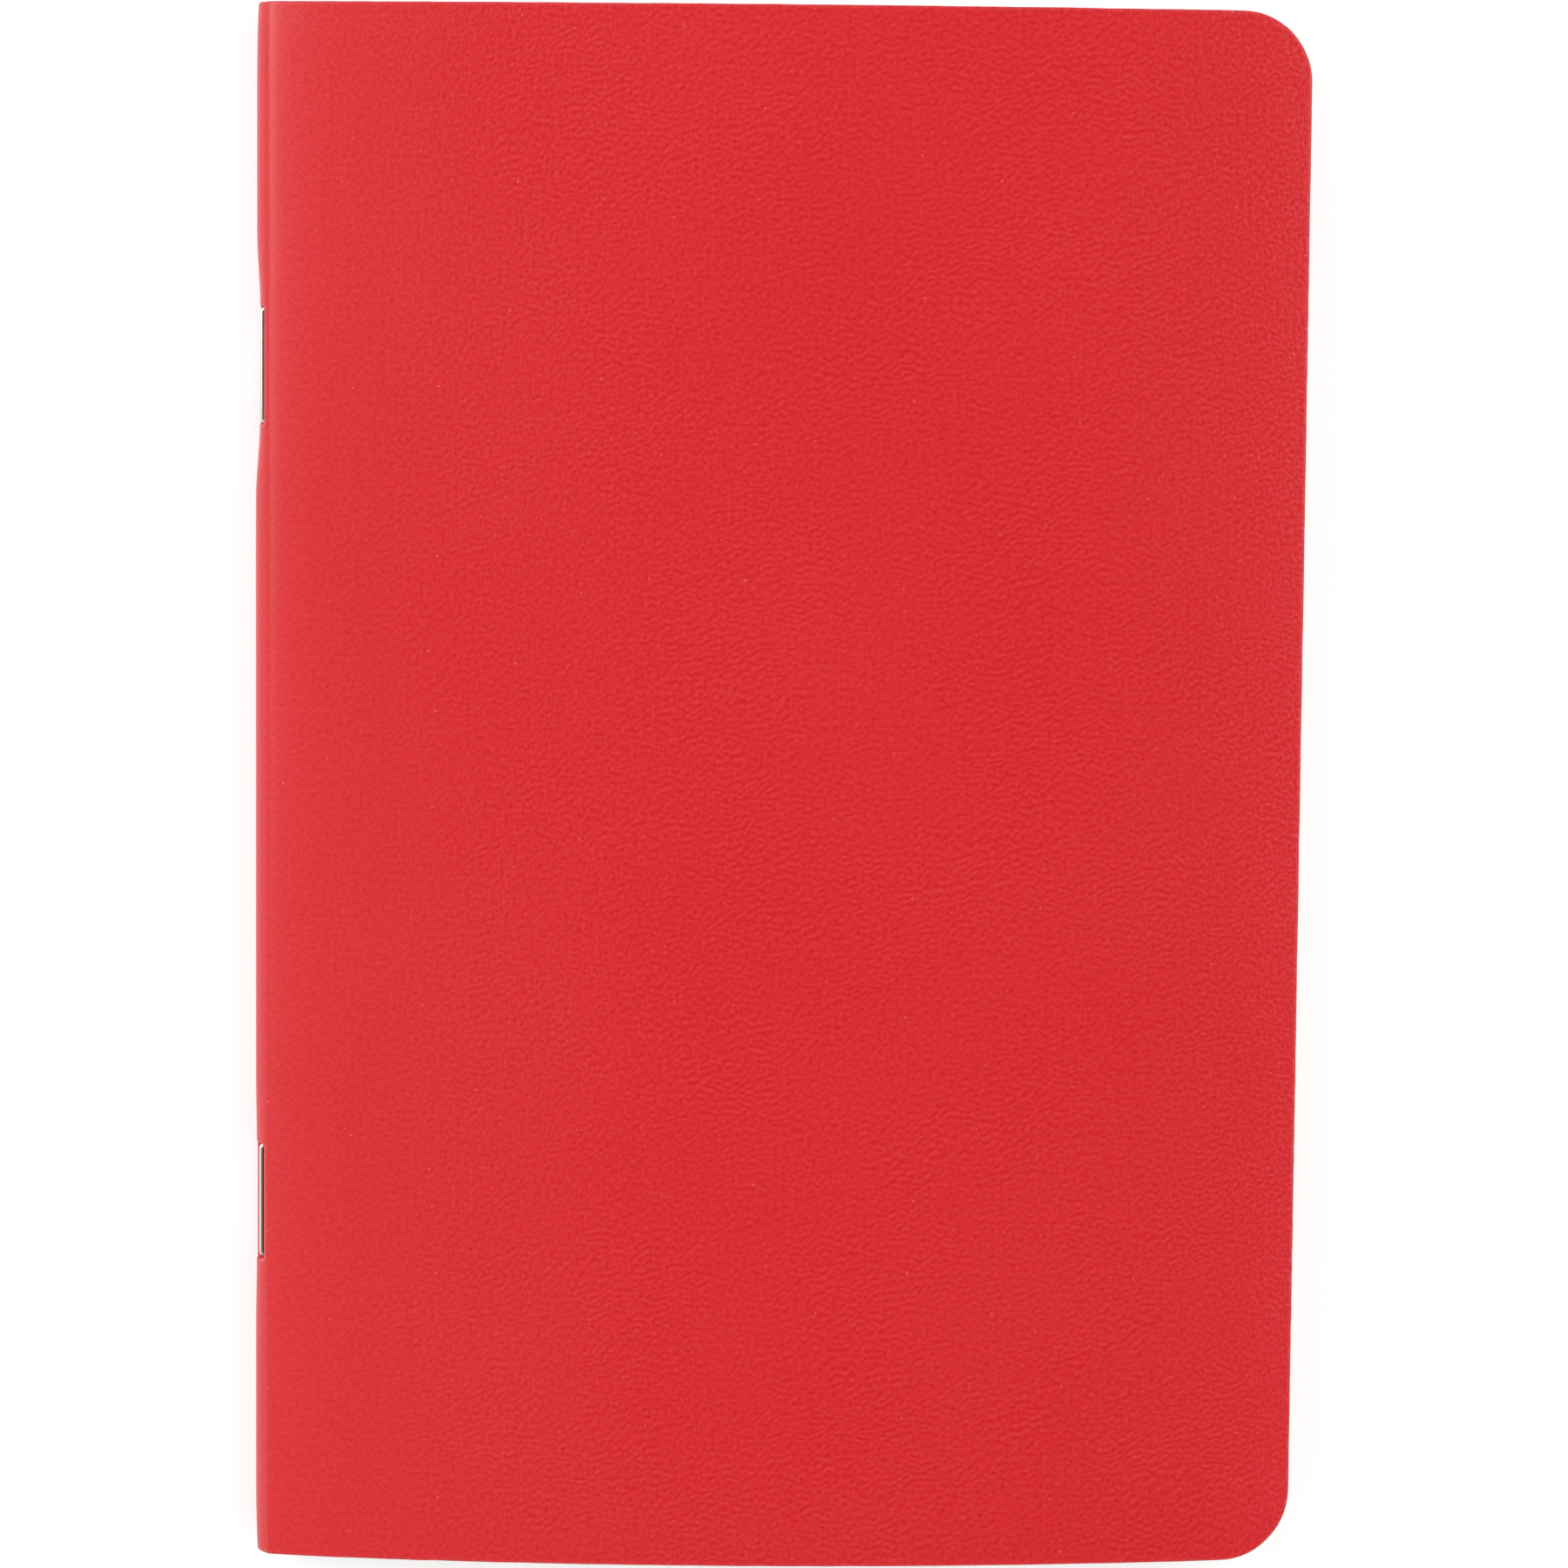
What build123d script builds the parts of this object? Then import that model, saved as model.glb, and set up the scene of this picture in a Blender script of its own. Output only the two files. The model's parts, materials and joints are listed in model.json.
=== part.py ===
from build123d import *
import os

# Stapled exercise book, closed and lying on its back cover. Lengths are in millimetres.
# +X runs from the spine to the fore-edge, +Y to the head and +Z up.
# The origin is under the middle of the book, on the surface it lies on.
# The cover and all sheets are folded about one hinge line, along the spine at half the book's thickness.

# Trimmed size
book_height = 140.0
book_width = 94.0
corner_radius = 6.35

# Paper sheets, nested in one another, with number 1 outermost
sheet_count = 16
paper_thickness = 0.10
air_gap = 0.03

# Cover
cover_thickness = 0.70
cover_arch = 2.00  # how far the closed front cover bows up in its middle

# Wire staples
wire_diameter = 0.50
crown_length = 10.6  # over the outside of the two legs
staple_spacing = 75.6
shoulder_radius = 0.70  # the bends beside the crown, on the wire's centre line
clinch_radius = 0.30  # the bends inside the innermost fold
clinch_length = 4.0  # from a leg's centre line to its cut end
crown_bed = 0.12  # cover left under the crown

# Clearances
wire_clearance = 0.03  # round the wire in its holes and in its bed
clinch_clearance = 0.10  # from the clinched wire to the innermost leaves
opened_clearance = 0.15  # from the wire's side to the leaves and covers when they lie open

# Radii about the hinge line
wire_radius = wire_diameter / 2
hole_radius = wire_radius + wire_clearance
innermost_radius = wire_radius + clinch_clearance
sheet_pitch = paper_thickness + air_gap
cover_inner_radius = innermost_radius + sheet_count * sheet_pitch
cover_outer_radius = cover_inner_radius + cover_thickness
crown_line_radius = cover_inner_radius + crown_bed + hole_radius
clinch_line_radius = innermost_radius - hole_radius

# Places of the hinge line and of the panels that start beside it
hinge_x = cover_outer_radius - book_width / 2
hinge_z = cover_outer_radius
fold_run = wire_radius + opened_clearance
panel_start = hinge_x + fold_run
panel_end = book_width / 2
panel_middle = (panel_start + panel_end) / 2


def flat_panel(bottom, thickness):
    """A leaf or cover panel from its fold to the fore-edge, with the two fore-edge corners rounded."""
    outline = Pos(panel_middle, 0) * Rectangle(panel_end - panel_start, book_height)
    outline = fillet(outline.vertices().sort_by(Axis.X)[-2:], corner_radius)
    return Pos(0, 0, bottom) * extrude(outline, amount=thickness)


def arched_panel(bottom, thickness, rise):
    """A panel with the same outline that bows up by the rise between its fold and the fore-edge."""
    top = bottom + thickness
    under = ThreePointArc((panel_start, bottom), (panel_middle, bottom + rise), (panel_end, bottom))
    over = ThreePointArc((panel_end, top), (panel_middle, top + rise), (panel_start, top))
    edges = [under, Line(under @ 1, over @ 0), over, Line(over @ 1, under @ 0)]
    bowed_slab = extrude(make_face(Plane.XZ * Curve(edges)), amount=book_height / 2, both=True)
    return bowed_slab & flat_panel(bottom, thickness + rise)


def half_round_fold(inner_radius, thickness):
    """The bend of a folded sheet: half a tube about the hinge line, with a short flat run at each end."""
    outer_radius = inner_radius + thickness
    outside = ThreePointArc((0, outer_radius), (-outer_radius, 0), (0, -outer_radius))
    inside = ThreePointArc((0, -inner_radius), (-inner_radius, 0), (0, inner_radius))
    lower_run = Polyline(outside @ 1, (fold_run, -outer_radius), (fold_run, -inner_radius), inside @ 0)
    upper_run = Polyline(inside @ 1, (fold_run, inner_radius), (fold_run, outer_radius), outside @ 0)
    section = make_face(Plane.XZ * Curve([outside, lower_run, inside, upper_run]))
    return Pos(hinge_x, 0, hinge_z) * extrude(section, amount=book_height / 2, both=True)


def staple_line(middle_y):
    """The centre line of a staple's wire: clinched end, leg, crown, leg and clinched end."""
    crown_x = hinge_x - crown_line_radius
    clinch_x = hinge_x - clinch_line_radius
    leg = crown_length / 2 - wire_radius
    tip = leg - clinch_length
    upper_corners = [(clinch_x, tip), (clinch_x, leg), (crown_x, leg)]
    lower_corners = [(crown_x, -leg), (clinch_x, -leg), (clinch_x, -tip)]
    radii = [clinch_radius, shoulder_radius, shoulder_radius, clinch_radius]
    return Pos(0, middle_y, hinge_z) * FilletPolyline(*upper_corners, *lower_corners, radius=radii)


def round_bar(line, radius):
    """A bar of round section along a line."""
    return sweep(Plane(origin=line @ 0, z_dir=line % 0) * Circle(radius), path=line)


def crown_slot(middle_y):
    """The room outside a staple's crown, from the wire's centre line to beyond the spine."""
    depth = cover_outer_radius - crown_line_radius + wire_diameter
    length = crown_length + 2 * wire_clearance
    slot = Box(depth, length, 2 * hole_radius, align=(Align.MAX, Align.CENTER, Align.CENTER))
    return Pos(hinge_x - crown_line_radius, middle_y, hinge_z) * slot


staple_places = {"staple_head": staple_spacing / 2, "staple_tail": -staple_spacing / 2}
staple_lines = {name: staple_line(place) for name, place in staple_places.items()}
wire_channels = [round_bar(line, hole_radius) for line in staple_lines.values()]
crown_slots = [crown_slot(place) for place in staple_places.values()]

nodes = {}
nodes["back_cover"] = flat_panel(0, cover_thickness)
nodes["cover_spine"] = half_round_fold(cover_inner_radius, cover_thickness) - wire_channels - crown_slots
nodes["front_cover"] = arched_panel(hinge_z + cover_inner_radius, cover_thickness, cover_arch)

for number in range(1, sheet_count + 1):
    sheet = f"sheet_{number:02d}"
    inner_radius = innermost_radius + (sheet_count - number) * sheet_pitch
    outer_radius = inner_radius + paper_thickness
    nodes[f"{sheet}_back_leaf"] = flat_panel(hinge_z - outer_radius, paper_thickness)
    nodes[f"{sheet}_fold"] = half_round_fold(inner_radius, paper_thickness) - wire_channels
    nodes[f"{sheet}_front_leaf"] = flat_panel(hinge_z + inner_radius, paper_thickness)

for name, line in staple_lines.items():
    nodes[name] = round_bar(line, wire_radius)

os.makedirs("parts", exist_ok=True)
for name, solid in nodes.items():
    export_step(solid, f"parts/{name}.step")
closed_thickness = 2 * cover_outer_radius + cover_arch
print(f"hinge line at x {hinge_x:.4f}, z {hinge_z:.4f}, closed thickness {closed_thickness:.3f}")
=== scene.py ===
import json
import math

import bpy
from mathutils import Matrix, Vector, noise


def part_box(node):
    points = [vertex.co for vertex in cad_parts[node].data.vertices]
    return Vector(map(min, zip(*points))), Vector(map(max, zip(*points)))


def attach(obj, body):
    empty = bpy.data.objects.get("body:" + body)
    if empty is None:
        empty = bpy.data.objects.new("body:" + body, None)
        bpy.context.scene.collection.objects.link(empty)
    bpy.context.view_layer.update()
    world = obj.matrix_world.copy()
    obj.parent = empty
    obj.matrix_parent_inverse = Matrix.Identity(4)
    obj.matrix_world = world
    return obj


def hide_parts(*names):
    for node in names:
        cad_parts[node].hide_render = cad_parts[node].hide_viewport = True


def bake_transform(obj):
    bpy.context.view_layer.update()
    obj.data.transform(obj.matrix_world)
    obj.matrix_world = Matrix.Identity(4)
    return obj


# A stapled exercise book with a red leatherette cover, closed and lying on its back.
# Lengths are in metres. +X runs from the spine to the fore-edge, +Y to the head and +Z up.
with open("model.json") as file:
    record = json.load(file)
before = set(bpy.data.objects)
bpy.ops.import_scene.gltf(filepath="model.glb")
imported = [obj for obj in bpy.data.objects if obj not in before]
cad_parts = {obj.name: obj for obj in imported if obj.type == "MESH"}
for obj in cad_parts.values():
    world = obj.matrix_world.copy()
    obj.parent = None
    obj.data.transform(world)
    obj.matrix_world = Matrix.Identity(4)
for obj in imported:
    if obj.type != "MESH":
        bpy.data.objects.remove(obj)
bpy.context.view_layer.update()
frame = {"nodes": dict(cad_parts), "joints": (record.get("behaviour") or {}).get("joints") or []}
MM = 0.001

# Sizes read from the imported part
hinge = Vector(next(joint["pos_m"] for joint in frame["joints"] if joint["name"] == "cover_open"))
back_low, back_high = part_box("back_cover")
front_low, front_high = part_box("front_cover")
fore_edge = back_high.x
half_height = back_high.y
cover_thickness = back_high.z - back_low.z
spine_radius = hinge.z - back_low.z
panel_length = fore_edge - hinge.x
bow_start = front_low.x
solid_bow = front_high.z - hinge.z - spine_radius
sheets = sorted(name.removesuffix("_fold") for name in frame["nodes"] if name.endswith("_fold"))
staples = sorted(name for name in frame["nodes"] if name.startswith("staple_"))

# The cover laid out flat, from the back's fore-edge round the spine to the front's
spine_run = math.pi * spine_radius
front_start = panel_length + spine_run
cover_run = front_start + panel_length

# Cover
corner_radius = 6.35 * MM
rim_radius = 0.16 * MM  # the softened cut edge
rim_wander = 0.035 * MM  # how far the cut edge strays
wander_reach = 0.8 * MM  # how far in from the edge that is felt
wander_length = 1.3 * MM  # the length of a stray along the edge
wander_width = 9 * MM  # and its width across the cover
edge_press = 0.14 * MM  # how far the outside is pressed down at its cut edges
cover_bow = solid_bow + 0.50 * MM  # the soft front springs up a little more than the solid
tail_spring = 1.20 * MM  # and more again at its tail edge
spring_start = -20 * MM  # where that begins, from the book's middle towards the tail
spine_bulge = 0.20 * MM  # how far the spine swells beyond the solid
head_bulge = 0.07 * MM  # and how far it does near its head
bulge_change = (20 * MM, 50 * MM)  # where the one passes into the other, from the middle towards the head
shoulder_lift = 45  # degrees above the spine's middle where its round runs out into the front
shoulder_share = 0.67  # how much of the front's fall to the spine is slow
shoulder_run = 2.6 * MM  # how slow that is

# Slots that the staples' crowns press into the spine, each in a dent, with angles in degrees from its middle
slot_radius = spine_radius - cover_thickness + 0.01 * MM  # the floor of a slot
upper_end = (-0.25 * MM, 0.20 * MM)  # where its upper side closes, from the end of the crown
lower_end = (-0.60 * MM, 0.15 * MM)  # and where its lower side closes
upper_lip = (14, 44)  # where its upper side rises
lower_lip = (5, 8)  # and where its lower side rises
upper_fade = (5, shoulder_lift)  # where the dent ends above
lower_fade = (20, 60)  # and where it ends below
dent_run = 6.5 * MM  # how far the dent runs beyond the crown's ends
dents = {"staple_head": 0.37, "staple_tail": 0.08}  # the depth of each dent, as a share of its slot's
sinks = {"staple_head": 0.12 * MM, "staple_tail": 0.03 * MM}  # how far each crown sinks below the solid's

# Leatherette, with lengths in millimetres on the laid-out cover
wrinkles_per_mm = 1.6
wrinkle_turn = math.radians(101)
grain_calm = (4.0, 36.0)  # from the spine's middle, where the grain's colours grow to full strength
relief_calm = (4.0, 30.0)  # and where its relief does
worn_edge = (0.05, 0.40)  # in from a cut edge, where the wear fades out
outer_reds = ((0.712, 0.000, 0.001, 1), (0.788, 0.024, 0.038, 1))
inner_reds = ((0.40, 0.006, 0.012, 1), (0.52, 0.014, 0.022, 1))
worn_red = (0.70, 0.060, 0.062, 1)
# painted shade on the floor of the staples' slots
slot_painted_shade = (0.09, 0.004, 0.004, 1)
dust_pink = (0.86, 0.42, 0.40, 1)

# Paper, with the ruling in millimetres
paper_whites = ((0.82, 0.795, 0.72, 1), (0.90, 0.88, 0.82, 1))
# painted shade of the gaps between the leaves, laid on the cut edges of some sheets
painted_gap_shade = (0.50, 0.47, 0.40, 1)
line_blue = (0.42, 0.52, 0.62, 1)
ruling = 7.0
head_margin = 15.0
tail_margin = 6.0
line_edge = (0.06, 0.16)  # from a line's middle, where its ink fades out

# Sheets
leaf_bow_start = bow_start - hinge.x + 1.2 * MM  # the front leaves begin to bow a little later than the cover
leaf_settle = 0.28 * MM  # how far the innermost leaves close the gap that the staples hold open
settle_run = 12 * MM  # how far from the fold a leaf has settled
trim_spread = 0.10 * MM  # how unevenly the fore-edges are trimmed
trim_turn = 2.4  # how that differs from sheet to sheet, in radians
paper_rim = 0.05 * MM  # the softened edge of a leaf
edge_shade = 0.35  # how much darker the cut edges of some sheets are, as painted shade of the gaps between the leaves
shade_turn = 3.7  # how that differs from sheet to sheet, in radians
bend_room = 0.01 * MM  # a margin taken off a leaf's reach from the hinge line

# Staples
steel_greys = ((0.63, 0.62, 0.60, 1), (0.86, 0.85, 0.83, 1))
shoulder_radius = 0.38 * MM
clinch_radius = 0.30 * MM
clinch_length = 4.0 * MM

# Studio
floor_half = 1.5
floor_drop = 0.02 * MM
floor_grey = 0.80
near_glow = 0.44  # what the floor adds by itself to what the camera sees of it beside the book
far_glow = 0.75  # and far from the book
glow_run = (0.10, 0.60)  # where the one passes into the other
ambient = 0.55
sky_gloss = 0.85  # the sky in reflections
sky_dimming = 0.80  # how much darker it is overhead
dim_tilt = math.radians(20)  # how far that dim part leans to the fore-edge
dim_range = (0.60, 0.97)  # the cosines between which it sets in

# The camera's place, above the book and a little to its head side, as in the photograph
camera_place = Vector((-11.5, 39.1, 460.0)) * MM
camera_pan = math.radians(-1.503)
camera_tilt = math.radians(-4.837)
camera_roll = math.radians(0.492)
focal_pixels = 5817.0
picture_pixels = 1800


class Socket:
    """An output of a node that can be used in arithmetic: each operation adds a Math node."""

    def __init__(self, bench, socket):
        self.bench = bench
        self.socket = socket

    def output(self, name):
        """Another output of the same node."""
        return Socket(self.bench, self.socket.node.outputs[name])

    def math(self, operation, *values):
        sockets = dict(zip(("Value", "Value_001"), values))
        return self.bench.node("ShaderNodeMath", {"operation": operation}, sockets)

    def __add__(self, other):
        return self.math("ADD", self, other)

    def __radd__(self, other):
        return self.math("ADD", other, self)

    def __sub__(self, other):
        return self.math("SUBTRACT", self, other)

    def __rsub__(self, other):
        return self.math("SUBTRACT", other, self)

    def __mul__(self, other):
        return self.math("MULTIPLY", self, other)

    def __rmul__(self, other):
        return self.math("MULTIPLY", other, self)

    def __truediv__(self, other):
        return self.math("DIVIDE", self, other)

    def __rtruediv__(self, other):
        return self.math("DIVIDE", other, self)

    def __gt__(self, other):
        return self.math("GREATER_THAN", self, other)

    def __lt__(self, other):
        return self.math("LESS_THAN", self, other)

    def __abs__(self):
        return self.math("ABSOLUTE", self)

    def sine(self):
        return self.math("SINE", self)

    def cosine(self):
        return self.math("COSINE", self)

    def sign(self):
        return self.math("SIGN", self)

    def fraction(self):
        return self.math("FRACT", self)

    def at_least(self, other):
        return self.math("MAXIMUM", self, other)

    def ramp(self, low, high, kind="LINEAR"):
        """0 up to low, 1 from high on, and a straight or smooth rise between them."""
        limits = {"Value": self, "From Min": low, "From Max": high}
        return self.bench.node("ShaderNodeMapRange", {"interpolation_type": kind, "clamp": True}, limits)

    def smooth(self, low, high):
        return self.ramp(low, high, "SMOOTHSTEP")


class Bench:
    """A node tree that nodes are added to."""

    def __init__(self, tree):
        self.tree = tree

    def node(self, kind, settings=None, sockets=None):
        """Adds a node, makes its settings, fills its inputs with values or links, and gives its first output.
        A list links several sockets to one input."""
        made = self.tree.nodes.new(kind)
        for name, value in (settings or {}).items():
            setattr(made, name, value)
        for name, value in (sockets or {}).items():
            shown = [socket for socket in made.inputs if socket.enabled]
            target = next(socket for socket in shown if name in (socket.identifier, socket.name))
            for item in value if isinstance(value, list) else [value]:
                if isinstance(item, Socket):
                    self.tree.links.new(item.socket, target)
                else:
                    target.default_value = item
        outputs = [socket for socket in made.outputs if socket.enabled]
        return Socket(self, outputs[0]) if outputs else None

    def blend_colours(self, share, first, second):
        """A colour between two others."""
        colours = {"Factor_Float": share, "A_Color": first, "B_Color": second}
        return self.node("ShaderNodeMix", {"data_type": "RGBA"}, colours)

    def vector_math(self, operation, **sockets):
        return self.node("ShaderNodeVectorMath", {"operation": operation}, sockets)

    def attribute(self, name, output):
        return self.node("ShaderNodeAttribute", {"attribute_name": name}).output(output)

    def flat_noise(self, place, scale, detail):
        """Noise over a surface that is laid out flat."""
        sockets = {"Vector": place, "Scale": scale, "Detail": detail}
        return self.node("ShaderNodeTexNoise", {"noise_dimensions": "2D"}, sockets)

    def keep(self, geometry, name, kind, value):
        """Keeps a value of each point of a geometry under a name."""
        sockets = {"Geometry": geometry, "Name": name, "Value": value}
        return self.node("GeometryNodeStoreNamedAttribute", {"data_type": kind, "domain": "POINT"}, sockets)


def grey(level):
    return (level, level, level, 1)


def new_material(name):
    """An empty material, and the bench for its nodes."""
    material = bpy.data.materials.new(name)
    material.use_nodes = True
    material.node_tree.nodes.clear()
    return material, Bench(material.node_tree)


def leatherette():
    """Red leatherette with fine wrinkled grain, plain and duller on the inside."""
    material, bench = new_material("red_leatherette")
    place = bench.attribute("place", "Vector")
    outside = bench.attribute("outside", "Fac")
    inset = bench.attribute("inset", "Fac")
    pressed = bench.attribute("pressed", "Fac")
    from_spine = abs(bench.node("ShaderNodeSeparateXYZ", {}, {"Vector": place}) - cover_run / 2 / MM)

    # Drifting wrinkles, stronger in patches and away from the spine
    drift = bench.flat_noise(place, 0.11, 1.0).output("Color")
    drifted = bench.vector_math("MULTIPLY_ADD", Vector=drift, Vector_001=(2, 2, 0), Vector_002=place)
    wrinkles = bench.node("ShaderNodeTexGabor", {"gabor_type": "2D"}, {
        "Vector": drifted, "Scale": 1.0, "Frequency": wrinkles_per_mm, "Anisotropy": 0.6,
        "Orientation": wrinkle_turn}) - 0.5
    patches = bench.flat_noise(place, 0.075, 2.0).smooth(0.34, 0.66) * 0.50 + 0.50
    grain = wrinkles * (patches * (from_spine.smooth(*grain_calm) * 0.75 + 0.25))
    pores = bench.flat_noise(place, 2.6, 2.0) - 0.5
    cloud = bench.flat_noise(place, 0.035, 3.0) - 0.5

    # Specks of dust, few and of different sizes
    dust = bench.node("ShaderNodeTexVoronoi", {"voronoi_dimensions": "2D"}, {"Vector": place, "Scale": 0.14})
    dust_size = bench.node("ShaderNodeSeparateColor", {}, {"Color": dust.output("Color")}) * 0.008 + 0.003
    specks = dust < dust_size

    outer_red = bench.blend_colours(grain * 2.3 + pores * 1.2 + cloud * 0.30 + 0.42, *outer_reds)
    inner_red = bench.blend_colours(pores * 0.5 + cloud * 0.5 + 0.5, *inner_reds)
    red = bench.blend_colours(outside, inner_red, outer_red)
    wear = (1 - inset.smooth(*worn_edge)) * (pores * 1.2 + 0.45)
    red = bench.blend_colours(wear, red, worn_red)
    # Painted shade in the staples' slots, darkest where the spine is pulled furthest in
    red = bench.blend_colours(pressed.smooth(0.45, 1.0) * 0.82, red, slot_painted_shade)
    red = bench.blend_colours(specks * outside * 0.40, red, dust_pink)

    relief = (grain * 0.16 + pores * 0.32) * (from_spine.smooth(*relief_calm) * 0.85 + 0.15)
    relief = relief * outside + pores * 0.16 * (1 - outside)
    bump = bench.node("ShaderNodeBump", {}, {"Height": relief, "Strength": 0.8, "Distance": 0.20 * MM})
    roughness = 0.35 + pores * 0.12 - grain * 0.10 + (1 - outside) * 0.30
    surface = bench.node("ShaderNodeBsdfPrincipled", {}, {
        "Base Color": red, "Roughness": roughness, "Normal": bump, "Specular IOR Level": 0.55,
        "Sheen Weight": 0.05, "Sheen Roughness": 0.30, "Sheen Tint": (1.0, 0.75, 0.72, 1)})
    bench.node("ShaderNodeOutputMaterial", {}, {"Surface": surface})
    return material


def writing_paper():
    """Warm white uncoated paper with faint ruled lines."""
    material, bench = new_material("writing_paper")
    place = bench.attribute("place", "Vector")
    height = bench.node("ShaderNodeSeparateXYZ", {}, {"Vector": place}).output("Y")
    cut_edge = bench.attribute("cut_edge", "Fac").ramp(0.0, 0.2)

    fibres = bench.flat_noise(place, 1.1, 4.0)
    cloud = bench.flat_noise(place, 0.06, 2.0)
    paper = bench.blend_colours(fibres * 0.6 + cloud * 0.4, *paper_whites)
    # Painted shade of the gaps between the leaves: the cut edges darker, more on some sheets than on others
    paper = bench.blend_colours(bench.attribute("shade", "Fac") * cut_edge, paper, painted_gap_shade)

    from_head = half_height / MM - head_margin - height
    to_line = abs((from_head / ruling + 0.5).fraction() - 0.5) * ruling
    ruled_part = (from_head > -ruling / 2) * (height > tail_margin - half_height / MM)
    ruled = (1 - to_line.smooth(*line_edge)) * ruled_part * (1 - cut_edge)
    paper = bench.blend_colours(ruled * 0.42, paper, line_blue)

    bump = bench.node("ShaderNodeBump", {}, {"Height": fibres, "Strength": 0.15, "Distance": 0.03 * MM})
    surface = bench.node("ShaderNodeBsdfPrincipled", {}, {
        "Base Color": paper, "Roughness": 0.78 + fibres * 0.12, "Normal": bump, "Specular IOR Level": 0.25})
    bench.node("ShaderNodeOutputMaterial", {}, {"Surface": surface})
    return material


def staple_steel():
    """Bright drawn wire with faint marks along it."""
    material, bench = new_material("staple_steel")
    place = bench.node("ShaderNodeTexCoord").output("Object")
    stretched = bench.vector_math("MULTIPLY", Vector=place, Vector_001=(9 / MM, 0.7 / MM, 9 / MM))
    marks = bench.node("ShaderNodeTexNoise", {}, {"Vector": stretched, "Scale": 1.0, "Detail": 3.0})
    steel = bench.blend_colours(marks, *steel_greys)
    surface = bench.node("ShaderNodeBsdfPrincipled", {}, {
        "Base Color": steel, "Metallic": 1.0, "Roughness": marks * 0.14 + 0.08})
    bench.node("ShaderNodeOutputMaterial", {}, {"Surface": surface})
    return material


def smooth_share(value, low, high):
    """0 up to low, 1 from high on, and a smooth rise between them."""
    share = min(max((value - low) / (high - low), 0), 1)
    return share * share * (3 - 2 * share)


def graded_steps(grades, end):
    """Places from the first grade to the end. Each grade is a start and the widest step from there on."""
    places = []
    for (start, step), (stop, _) in zip(grades, grades[1:] + [(end, None)]):
        count = math.ceil((stop - start) / step)
        places += [start + (stop - start) * index / count for index in range(count)]
    return places + [end]


class CrownSlot:
    """The slot that a staple's crown presses into the spine, in a dent of the spine."""

    def __init__(self, staple):
        low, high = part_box(staple)
        self.middle = (low.y + high.y) / 2
        self.half_length = (high.y - low.y) / 2
        self.dent = dents[staple]

    def pull(self, lift, across):
        """How far the spine is pulled in: 0 away from the staple and 1 on the floor of the slot.
        The lift is in degrees above the spine's middle."""
        beyond = abs(across - self.middle) - self.half_length
        dent = self.dent * (1 - smooth_share(beyond, 0, dent_run))
        if lift > 0:
            dent *= 1 - smooth_share(lift, *upper_fade)
            slot = 1 - smooth_share(beyond, *upper_end)
            slot *= 1 - smooth_share(lift, *upper_lip)
        else:
            dent *= 1 - smooth_share(-lift, *lower_fade)
            slot = 1 - smooth_share(beyond, *lower_end)
            slot *= 1 - smooth_share(-lift, *lower_lip)
        return dent + (1 - dent) * slot


# The slots from tail to head, and where the spine's round runs out into the front
slots = [CrownSlot("staple_tail"), CrownSlot("staple_head")]
run_out_turn = math.radians(90 + shoulder_lift)
run_out_along = panel_length + spine_radius * run_out_turn
run_out_x = hinge.x - spine_radius * math.sin(run_out_turn)
run_out_slope = 1 / math.tan(math.radians(shoulder_lift))


def bow_at(across):
    """How far the front springs up between the spine and the fore-edge."""
    return cover_bow + tail_spring * smooth_share(-across, spring_start, half_height)


def front_height(x, across):
    """The height of the front's outside above the hinge line, from where the spine's round runs out.
    The front falls to that place in two parts, a slow one and a quick one that meets the round's slope."""
    share = (x - bow_start) / (fore_edge - bow_start)
    bow = bow_at(across)
    slope = 4 * bow / (fore_edge - bow_start)
    fall = spine_radius * (1 + math.cos(run_out_turn)) + slope * (run_out_x - bow_start)
    slow_fall = shoulder_share * fall
    quick_fall = fall - slow_fall
    quick_run = quick_fall / (run_out_slope - slope - slow_fall / shoulder_run)
    height = spine_radius + bow * 4 * share * (1 - max(share, 0))
    height -= slow_fall * math.exp((run_out_x - x) / shoulder_run)
    return height - quick_fall * math.exp((run_out_x - x) / quick_run)


def spine_pull(along, across):
    """How far the staples pull the outside of the spine in, as a share of a slot's depth."""
    if along < panel_length or along > run_out_along:
        return 0.0
    lift = math.degrees((along - panel_length) / spine_radius) - 90
    return max(slot.pull(lift, across) for slot in slots)


def outside_point(along, across, depth):
    """A point under the outside of the folded cover."""
    if along > run_out_along:
        x = hinge.x + along - front_start
        if x < hinge.x:
            share = (along - run_out_along) / (front_start - run_out_along)
            x = run_out_x + share * (hinge.x - run_out_x)
        return Vector((x, across, hinge.z + front_height(x, across) - depth))
    level = spine_radius - depth
    if along < panel_length:
        return Vector((fore_edge - along, across, hinge.z - level))
    turn = (along - panel_length) / spine_radius
    lift = math.degrees(turn) - 90
    bulge = spine_bulge + (head_bulge - spine_bulge) * smooth_share(across, *bulge_change)
    level += bulge * (1 - smooth_share(abs(lift), 0, shoulder_lift))
    level -= spine_pull(along, across) * max(level - slot_radius, 0)
    return Vector((hinge.x - level * math.sin(turn), across, hinge.z - level * math.cos(turn)))


def inside_point(along, across, depth):
    """A point under the inside of the folded cover."""
    level = spine_radius - cover_thickness + depth
    if along < panel_length:
        return Vector((fore_edge - along, across, hinge.z - level))
    if along > front_start:
        x = hinge.x + along - front_start
        share = max((x - bow_start) / (fore_edge - bow_start), 0)
        return Vector((x, across, hinge.z + level + bow_at(across) * 4 * share * (1 - share)))
    turn = (along - panel_length) / spine_radius
    return Vector((hinge.x - level * math.sin(turn), across, hinge.z - level * math.cos(turn)))


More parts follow.
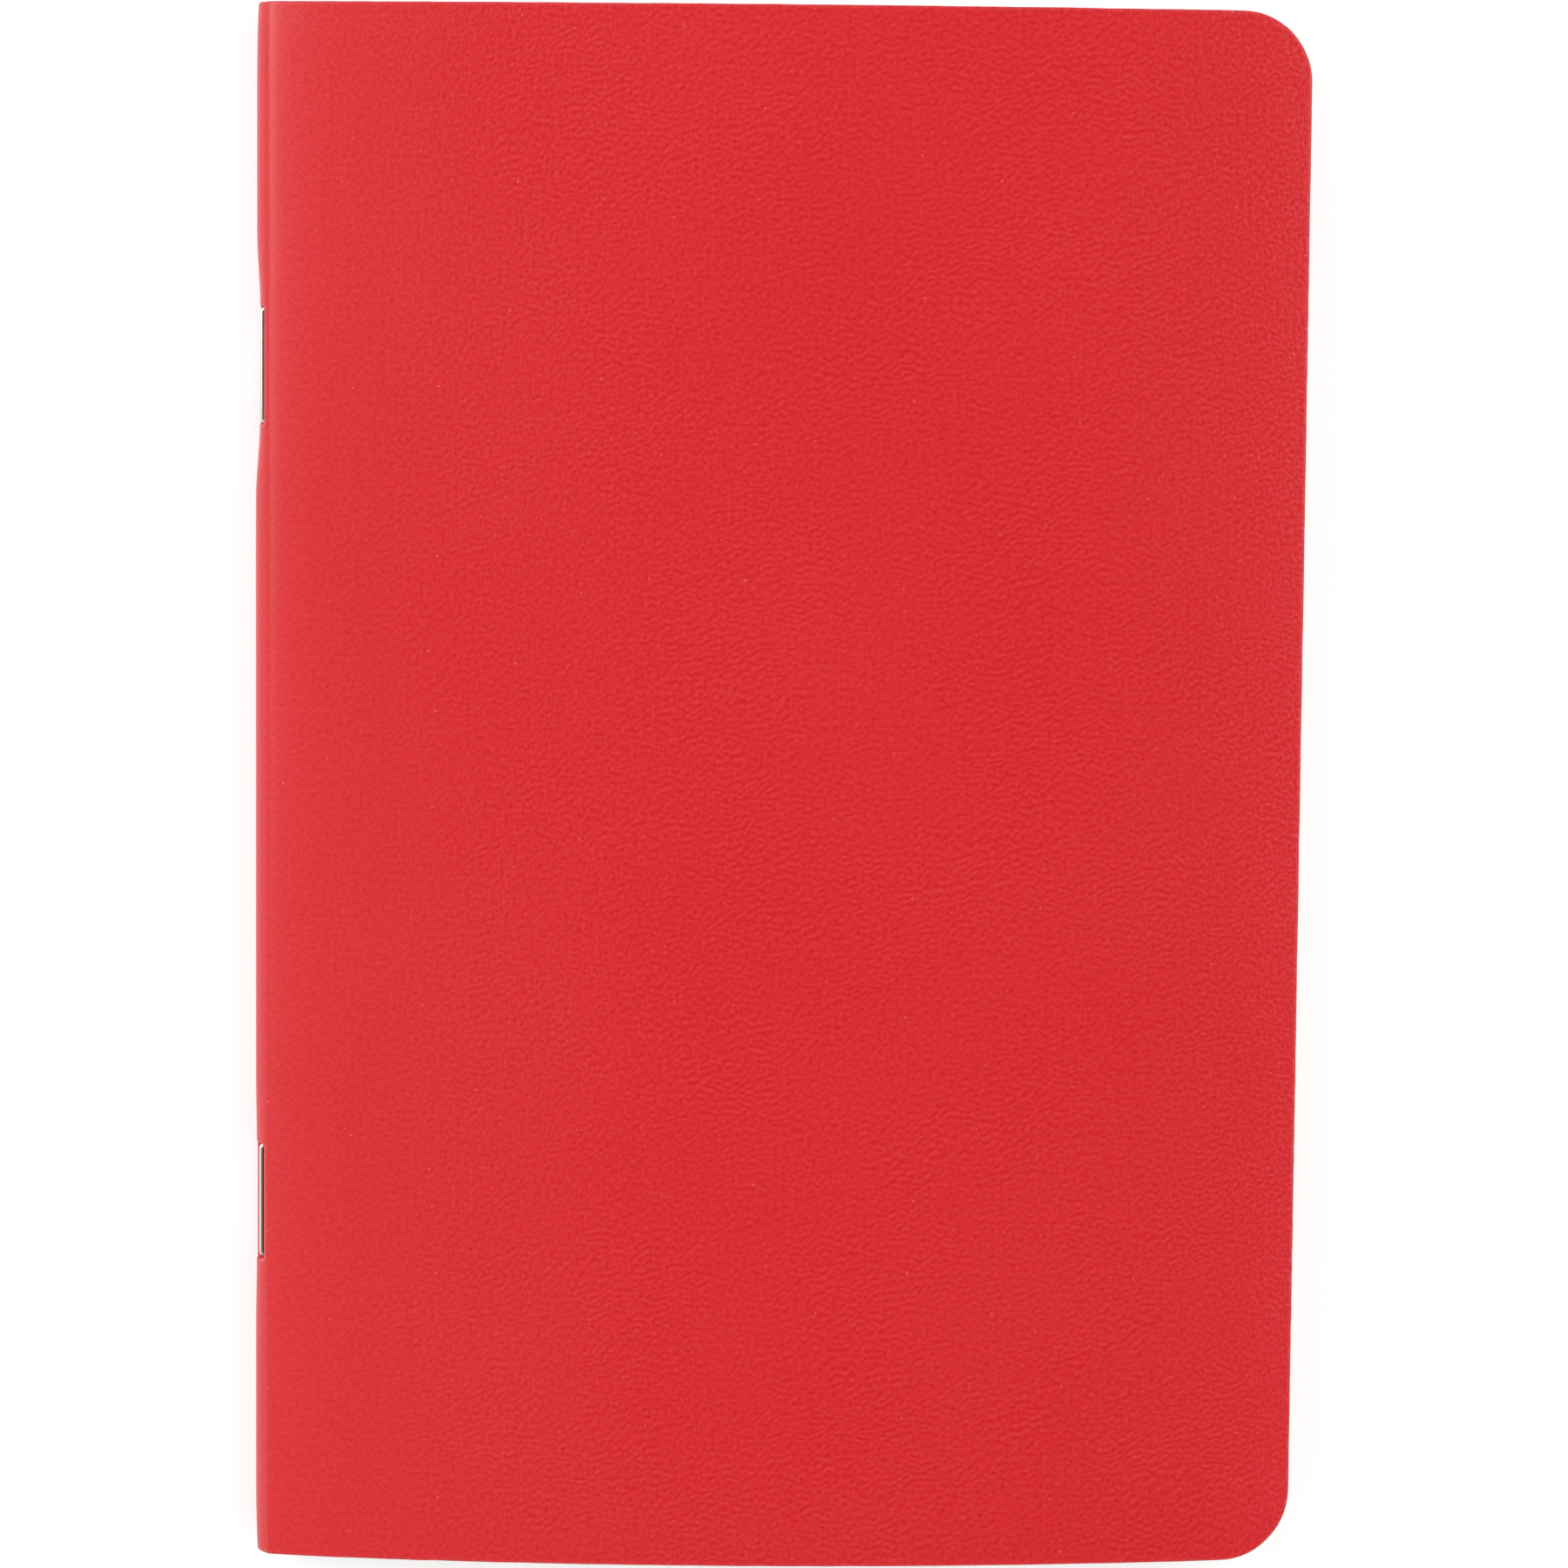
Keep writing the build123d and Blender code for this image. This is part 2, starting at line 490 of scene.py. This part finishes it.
def laid_out_cover():
    """The cover laid out flat, as a rectangle with rounded corners: its places, each with its inset from the
    cut edge, and its faces."""
    rim_steps = 4
    border_steps = 5
    rim_turns = [math.radians(90 * step / rim_steps) for step in range(rim_steps + 1)]
    border = corner_radius - rim_radius
    insets = [rim_radius * (1 - math.cos(turn)) for turn in rim_turns]
    insets += [rim_radius + border * (step / border_steps) ** 2 for step in range(1, border_steps + 1)]

    slot_side = panel_length + 0.42 * spine_run
    curl_side = panel_length + 0.77 * spine_run
    shoulder_end = front_start + 5 * shoulder_run
    back_step, spine_step, slot_step = 3.5 * MM, 0.20 * MM, 0.08 * MM
    curl_step, shoulder_step, front_step = 0.12 * MM, 0.8 * MM, 2.0 * MM
    along_grades = [
        (corner_radius, back_step), (panel_length, spine_step), (slot_side, slot_step),
        (curl_side, curl_step), (front_start, shoulder_step), (shoulder_end, front_step)]
    inner_along = graded_steps(along_grades, cover_run - corner_radius)

    coarse, medium, fine = 2.2 * MM, 0.6 * MM, 0.2 * MM
    past_end, before_end = 1.2 * MM, 0.8 * MM
    across_grades = [(corner_radius - half_height, coarse)]
    for slot in slots:
        low = slot.middle - slot.half_length
        high = slot.middle + slot.half_length
        across_grades += [
            (low - dent_run, medium), (low - past_end, fine), (low + before_end, medium),
            (high - before_end, fine), (high + past_end, medium), (high + dent_run, coarse)]
    inner_across = graded_steps(across_grades, half_height - corner_radius)

    spots = {}
    laid_out = []
    faces = []

    def spot(along, across, inset):
        """The number of a place on the laid-out cover."""
        key = (round(along / MM, 4), round(across / MM, 4))
        if key not in spots:
            spots[key] = len(laid_out)
            laid_out.append((along, across, inset))
        return spots[key]

    def patch(rows):
        """Faces between rows of spots. At a corner's pole they have three sides."""
        for lower, upper in zip(rows, rows[1:]):
            for quad in zip(lower, lower[1:], upper[1:], upper):
                faces.append(list(dict.fromkeys(quad)))

    edge_along = [(inset, inset) for inset in insets[:-1]]
    far_along = [(cover_run - inset, inset) for inset in reversed(insets[:-1])]
    full_along = edge_along + [(along, corner_radius) for along in inner_along] + far_along
    patch([[spot(along, across, inset) for along, inset in full_along] for across in inner_across])
    patch([[spot(along, half_height - inset, inset) for along in inner_along] for inset in reversed(insets)])
    patch([[spot(along, inset - half_height, inset) for along in inner_along] for inset in insets])
    corner_steps = 14
    for quarter in range(4):
        pole_along = cover_run - corner_radius if quarter in (0, 3) else corner_radius
        pole_across = (half_height - corner_radius) * (1 if quarter < 2 else -1)
        rows = []
        for step in range(corner_steps + 1):
            angle = math.radians(90 * (quarter + step / corner_steps))
            row = []
            for inset in reversed(insets):
                reach = corner_radius - inset
                along = pole_along + reach * math.cos(angle)
                row.append(spot(along, pole_across + reach * math.sin(angle), inset))
            rows.append(row)
        patch(rows)
    return laid_out, faces


def rim_edges(faces):
    """The sides of faces that belong to one face alone."""
    sides = {}
    for face in faces:
        for first, second in zip(face, face[1:] + face[:1]):
            sides[(first, second)] = True
    return [(first, second) for first, second in sides if (second, first) not in sides]


def store(mesh, name, kind, field, values):
    """Keeps a value of each point of a mesh under a name."""
    mesh.attributes.new(name, kind, "POINT").data.foreach_set(field, values)


def cover_mesh():
    """The cover as one closed sheet, folded round the spine."""
    laid_out, faces = laid_out_cover()
    points = []
    for outside in (True, False):
        for along, across, inset in laid_out:
            cut = max(rim_radius - inset, 0)
            depth = rim_radius - math.sqrt(rim_radius ** 2 - cut ** 2)
            if outside:
                point = outside_point(along, across, depth + edge_press * (1 - inset / corner_radius) ** 2)
            else:
                point = inside_point(along, across, depth)
            stray = rim_wander * max(1 - inset / wander_reach, 0)
            point.x += stray * noise.noise(Vector((point.y / wander_length, along / wander_width, 0)))
            point.y += stray * noise.noise(Vector((along / wander_length, point.y / wander_width, 5)))
            points.append(point)
    count = len(laid_out)
    inner_faces = [[count + number for number in reversed(face)] for face in faces]
    rim_faces = [[second, first, count + first, count + second] for first, second in rim_edges(faces)]

    mesh = bpy.data.meshes.new("cover")
    mesh.from_pydata(points, [], faces + inner_faces + rim_faces)
    mesh.polygons.foreach_set("use_smooth", [True] * len(mesh.polygons))
    flat = [value for along, across, inset in laid_out for value in (along / MM, across / MM, 0)]
    store(mesh, "place", "FLOAT_VECTOR", "vector", flat * 2)
    store(mesh, "inset", "FLOAT", "value", [inset / MM for along, across, inset in laid_out] * 2)
    store(mesh, "outside", "FLOAT", "value", [1.0] * count + [0.0] * count)
    # How far the staples pull the spine in, kept to lay the painted shade in their slots
    pressed = [spine_pull(along, across) for along, across, inset in laid_out]
    store(mesh, "pressed", "FLOAT", "value", pressed + [0.0] * count)
    mesh.validate()
    return mesh


def new_object(name, data):
    made = bpy.data.objects.new(name, data)
    bpy.context.scene.collection.objects.link(made)
    return made


def named_inputs(tree, sizes):
    """Adds a tree's named inputs, and gives its bench, the sockets of those inputs and their identifiers."""
    identifiers = {}
    for name, kind in sizes.items():
        identifiers[name] = tree.interface.new_socket(name, in_out="INPUT", socket_type=kind).identifier
    tree.interface.new_socket("Geometry", in_out="OUTPUT", socket_type="NodeSocketGeometry")
    bench = Bench(tree)
    group_input = bench.node("NodeGroupInput")
    inputs = {name: group_input.output(name) for name in sizes}
    return bench, inputs, identifiers


def finish_tree(bench, shape, material):
    """Ends a tree: realised, smooth and with its material."""
    shape = bench.node("GeometryNodeRealizeInstances", {}, {"Geometry": shape})
    shape = bench.node("GeometryNodeSetShadeSmooth", {}, {"Geometry": shape})
    shape = bench.node("GeometryNodeSetMaterial", {}, {"Geometry": shape, "Material": material})
    bench.node("NodeGroupOutput", {}, {"Geometry": shape})


def made_by(tree, identifiers, values, name, start_mesh=None):
    """An object with the plain mesh that a tree makes from these input values."""
    made = new_object(name, start_mesh or bpy.data.meshes.new(name))
    modifier = made.modifiers.new("shape", "NODES")
    modifier.node_group = tree
    for key, value in values.items():
        modifier[identifiers[key]] = value
    graph = bpy.context.evaluated_depsgraph_get()
    evaluated = made.evaluated_get(graph)
    mesh = bpy.data.meshes.new_from_object(evaluated, preserve_all_data_layers=True, depsgraph=graph)
    made.modifiers.clear()
    made.data = mesh
    mesh.name = name
    return made


def folded_sheet_tree():
    """A sheet folded once round the hinge line, with rounded fore-edge corners.
    Its front leaf bows up, and both leaves settle towards the middle of the book."""
    tree = bpy.data.node_groups.new("folded_sheet", "GeometryNodeTree")
    sizes = {name: "NodeSocketFloat" for name in (
        "Inner Radius", "Thickness", "Leaf Length", "Half Height", "Corner Radius", "Rim", "Bow Start",
        "Front Bow", "Tail Spring", "Spring Start", "Settle", "Settle Run", "Hinge X", "Hinge Z", "Shade")}
    sizes["Paper"] = "NodeSocketMaterial"
    bench, size, identifiers = named_inputs(tree, sizes)

    # A grid that counts its columns from the fold and its rows from the middle
    half_fold = 7
    leaf_steps = 20
    corner_steps = 9
    half_columns = half_fold + leaf_steps + corner_steps
    half_rows = 12
    grid = bench.node("GeometryNodeMeshGrid", {}, {
        "Size X": 2.0 * half_columns, "Size Y": 2.0 * half_rows,
        "Vertices X": 2 * half_columns + 1, "Vertices Y": 2 * half_rows + 1})
    column = bench.node("ShaderNodeSeparateXYZ", {}, {"Vector": bench.node("GeometryNodeInputPosition")})
    row = column.output("Y")
    front = column.sign()
    step = abs(column)

    # Where a point lies: round the fold, then along the leaf, then round the corner
    quarter = math.pi / 2
    fold_turn = step.ramp(0.0, half_fold) * quarter
    leaf_share = step.ramp(half_fold, half_fold + leaf_steps)
    corner_turn = step.ramp(half_fold + leaf_steps, half_columns) * quarter
    corner = size["Corner Radius"]
    reach = leaf_share * (size["Leaf Length"] - corner) + corner * corner_turn.sine()
    side_end = size["Half Height"] - corner * (1 - corner_turn.cosine())
    row_share = abs(row).ramp(0.0, half_rows - 1.0)
    at_side = abs(row).ramp(half_rows - 1.0, half_rows)
    at_fore_edge = step.ramp(half_columns - 1.0, half_columns)
    cut_edge = at_side.at_least(at_fore_edge)
    across = row.sign() * (row_share * (side_end - size["Rim"]) + at_side * size["Rim"])

    bow_place = reach.ramp(size["Bow Start"], size["Leaf Length"])
    spring = (across * -1).smooth(size["Spring Start"], size["Half Height"])
    bow = size["Front Bow"] + size["Tail Spring"] * spring
    rise = (front > 0.0) * bow * 4 * bow_place * (1 - bow_place)
    rise = rise - front * size["Settle"] * reach.smooth(0.0, size["Settle Run"])
    half_wall = size["Thickness"] / 2 * (1 - cut_edge)
    middle_radius = size["Inner Radius"] + size["Thickness"] / 2
    laid_out = front * (middle_radius * fold_turn + reach)
    place = bench.node("ShaderNodeCombineXYZ", {}, {"X": laid_out / MM, "Y": across / MM})
    grid = bench.keep(grid, "place", "FLOAT_VECTOR", place)
    grid = bench.keep(grid, "cut_edge", "FLOAT", cut_edge)
    grid = bench.keep(grid, "shade", "FLOAT", size["Shade"])

    layers = []
    for wall in (half_wall, half_wall * -1):
        radius = middle_radius + wall
        x = size["Hinge X"] - radius * fold_turn.cosine() + reach
        z = size["Hinge Z"] + front * radius * fold_turn.sine() + rise
        target = bench.node("ShaderNodeCombineXYZ", {}, {"X": x, "Y": across, "Z": z})
        layers.append(bench.node("GeometryNodeSetPosition", {}, {"Geometry": grid, "Position": target}))
    layers[1] = bench.node("GeometryNodeFlipFaces", {}, {"Mesh": layers[1]})
    joined = bench.node("GeometryNodeJoinGeometry", {}, {"Geometry": layers})
    closed = bench.node("GeometryNodeMergeByDistance", {}, {"Geometry": joined, "Distance": 0.0005 * MM})
    finish_tree(bench, closed, size["Paper"])
    return tree, identifiers


def staple_tree():
    """Round wire along a line of corners, bent at each of them."""
    tree = bpy.data.node_groups.new("staple", "GeometryNodeTree")
    sizes = {
        "Corners": "NodeSocketGeometry", "Wire Radius": "NodeSocketFloat",
        "Shoulder Radius": "NodeSocketFloat", "Clinch Radius": "NodeSocketFloat",
        "Steel": "NodeSocketMaterial"}
    bench, size, identifiers = named_inputs(tree, sizes)
    bend_steps = 10
    round_steps = 20
    line = bench.node("GeometryNodeMeshToCurve", {}, {"Mesh": size["Corners"]})
    number = bench.node("GeometryNodeInputIndex")
    shoulder = (number > 1.5) * (number < 3.5)
    bend = shoulder * size["Shoulder Radius"] + (1 - shoulder) * size["Clinch Radius"]
    line = bench.node("GeometryNodeFilletCurve", {"mode": "POLY"}, {
        "Curve": line, "Count": bend_steps, "Radius": bend})
    section = bench.node("GeometryNodeCurvePrimitiveCircle", {}, {
        "Resolution": round_steps, "Radius": size["Wire Radius"]})
    wire = bench.node("GeometryNodeCurveToMesh", {}, {
        "Curve": line, "Profile Curve": section, "Fill Caps": True})
    finish_tree(bench, wire, size["Steel"])
    return tree, identifiers


def soft_lamp(name, place, size, power):
    """A square soft box that faces the book."""
    lamp = bpy.data.lights.new(name, "AREA")
    lamp.shape = "SQUARE"
    lamp.size = size
    lamp.energy = power
    made = new_object(name, lamp)
    made.location = place
    made.rotation_euler = (-Vector(place)).to_track_quat("-Z", "Y").to_euler()


# Cover, one sheet folded round the spine between its two panels
cover = new_object("cover", cover_mesh())
cover.data.materials.append(leatherette())
up = Vector((0, 0, 1))
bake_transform(cover)
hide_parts("back_cover", "cover_spine", "front_cover")

# Sheets, number 1 outermost, each folded once between its two leaves
sheet_tree, sheet_inputs = folded_sheet_tree()
paper = writing_paper()
for number, name in enumerate(sheets, start=1):
    leaf_low, leaf_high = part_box(f"{name}_front_leaf")
    inner_radius = leaf_low.z - hinge.z
    from_middle = len(sheets) - number
    bow_share = (from_middle + 1) / (len(sheets) + 1)
    settle = leaf_settle * (1 - from_middle / len(sheets))
    trim = trim_spread * (1 + math.sin(trim_turn * number)) / 2
    shade = edge_shade * (1 + math.sin(shade_turn * number)) / 2
    sheet = made_by(sheet_tree, sheet_inputs, {
        "Inner Radius": inner_radius, "Thickness": leaf_high.z - leaf_low.z,
        "Leaf Length": panel_length - trim, "Half Height": half_height,
        "Corner Radius": corner_radius, "Rim": paper_rim,
        "Bow Start": leaf_bow_start, "Front Bow": cover_bow * bow_share,
        "Tail Spring": tail_spring * bow_share, "Spring Start": spring_start,
        "Settle": settle, "Settle Run": settle_run, "Hinge X": hinge.x, "Hinge Z": hinge.z,
        "Shade": shade, "Paper": paper}, name)
    reach = inner_radius - settle - bend_room
    hinge - up * reach
    hinge + up * reach
    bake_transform(sheet)
    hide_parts(f"{name}_back_leaf", f"{name}_fold", f"{name}_front_leaf")

# Staples, through the fold
wire_tree, wire_inputs = staple_tree()
steel = staple_steel()
for name in staples:
    low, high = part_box(name)
    wire_radius = (high.z - low.z) / 2
    crown_x = low.x + wire_radius + sinks[name]
    clinch_x = high.x - wire_radius
    upper = high.y - wire_radius
    lower = low.y + wire_radius
    height = (low.z + high.z) / 2
    corners = [
        (clinch_x, upper - clinch_length, height), (clinch_x, upper, height), (crown_x, upper, height),
        (crown_x, lower, height), (clinch_x, lower, height), (clinch_x, lower + clinch_length, height)]
    bent_line = bpy.data.meshes.new(name)
    bent_line.from_pydata(corners, [(number, number + 1) for number in range(5)], [])
    staple = made_by(wire_tree, wire_inputs, {
        "Wire Radius": wire_radius, "Shoulder Radius": shoulder_radius, "Clinch Radius": clinch_radius,
        "Steel": steel}, f"{name}_wire", bent_line)
    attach(staple, "spine")
    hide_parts(name)

# Floor, white to the camera and in reflections, with the book's shadow
floor_mesh = bpy.data.meshes.new("floor")
floor_corners = [(-floor_half, -floor_half, 0), (floor_half, -floor_half, 0), (floor_half, floor_half, 0)]
floor_mesh.from_pydata([*floor_corners, (-floor_half, floor_half, 0)], [], [(0, 1, 2, 3)])
floor = new_object("floor", floor_mesh)
floor_material, bench = new_material("floor_white")
rays = bench.node("ShaderNodeLightPath")
seen = rays.at_least(rays.output("Is Glossy Ray")).at_least(rays.output("Is Transmission Ray"))
from_book = bench.vector_math("LENGTH", Vector=bench.node("ShaderNodeTexCoord").output("Object"))
glow = bench.blend_colours(from_book.smooth(*glow_run), grey(near_glow), grey(far_glow))
floor_card = bench.node("ShaderNodeBsdfDiffuse", {}, {"Color": grey(floor_grey)})
floor_glow = bench.node("ShaderNodeEmission", {}, {"Color": glow, "Strength": seen})
floor_surface = bench.node("ShaderNodeAddShader", {}, {"Shader": floor_card, "Shader_001": floor_glow})
bench.node("ShaderNodeOutputMaterial", {}, {"Surface": floor_surface})
floor_mesh.materials.append(floor_material)
floor.location.z = -floor_drop

# Sky, white to the camera, pale in reflections but dim overhead, and a plain level of light otherwise
world = bpy.data.worlds.new("studio")
bpy.context.scene.world = world
world.use_nodes = True
world.node_tree.nodes.clear()
bench = Bench(world.node_tree)
rays = bench.node("ShaderNodeLightPath")
seen = rays.at_least(rays.output("Is Transmission Ray"))
direction = bench.node("ShaderNodeTexCoord").output("Generated")
dim_axis = Vector((math.sin(dim_tilt), 0, math.cos(dim_tilt)))
overhead = bench.vector_math("DOT_PRODUCT", Vector=direction, Vector_001=dim_axis).smooth(*dim_range)
glossy = rays.output("Is Glossy Ray")
unseen = glossy * (sky_gloss - overhead * sky_dimming) + (1 - glossy) * ambient
sky = bench.node("ShaderNodeBackground", {}, {"Color": grey(1), "Strength": seen + (1 - seen) * unseen})
bench.node("ShaderNodeOutputWorld", {}, {"Surface": sky})

# Lamps
soft_lamp("left_lamp", place=(-0.85, 0.41, 0.75), size=0.7, power=6.2)
soft_lamp("right_lamp", place=(0.90, 0.25, 0.65), size=0.8, power=4.2)

# Camera
camera_data = bpy.data.cameras.new("camera")
camera_data.sensor_width = 36.0
camera_data.lens = focal_pixels / picture_pixels * camera_data.sensor_width
camera_data.clip_start = 0.01
camera = new_object("camera", camera_data)
turn = Matrix.Rotation(camera_pan, 4, "Y") @ Matrix.Rotation(camera_tilt, 4, "X")
camera.matrix_world = Matrix.Translation(camera_place) @ turn @ Matrix.Rotation(camera_roll, 4, "Z")
bpy.context.scene.camera = camera
bpy.context.scene.view_settings.view_transform = "Standard"
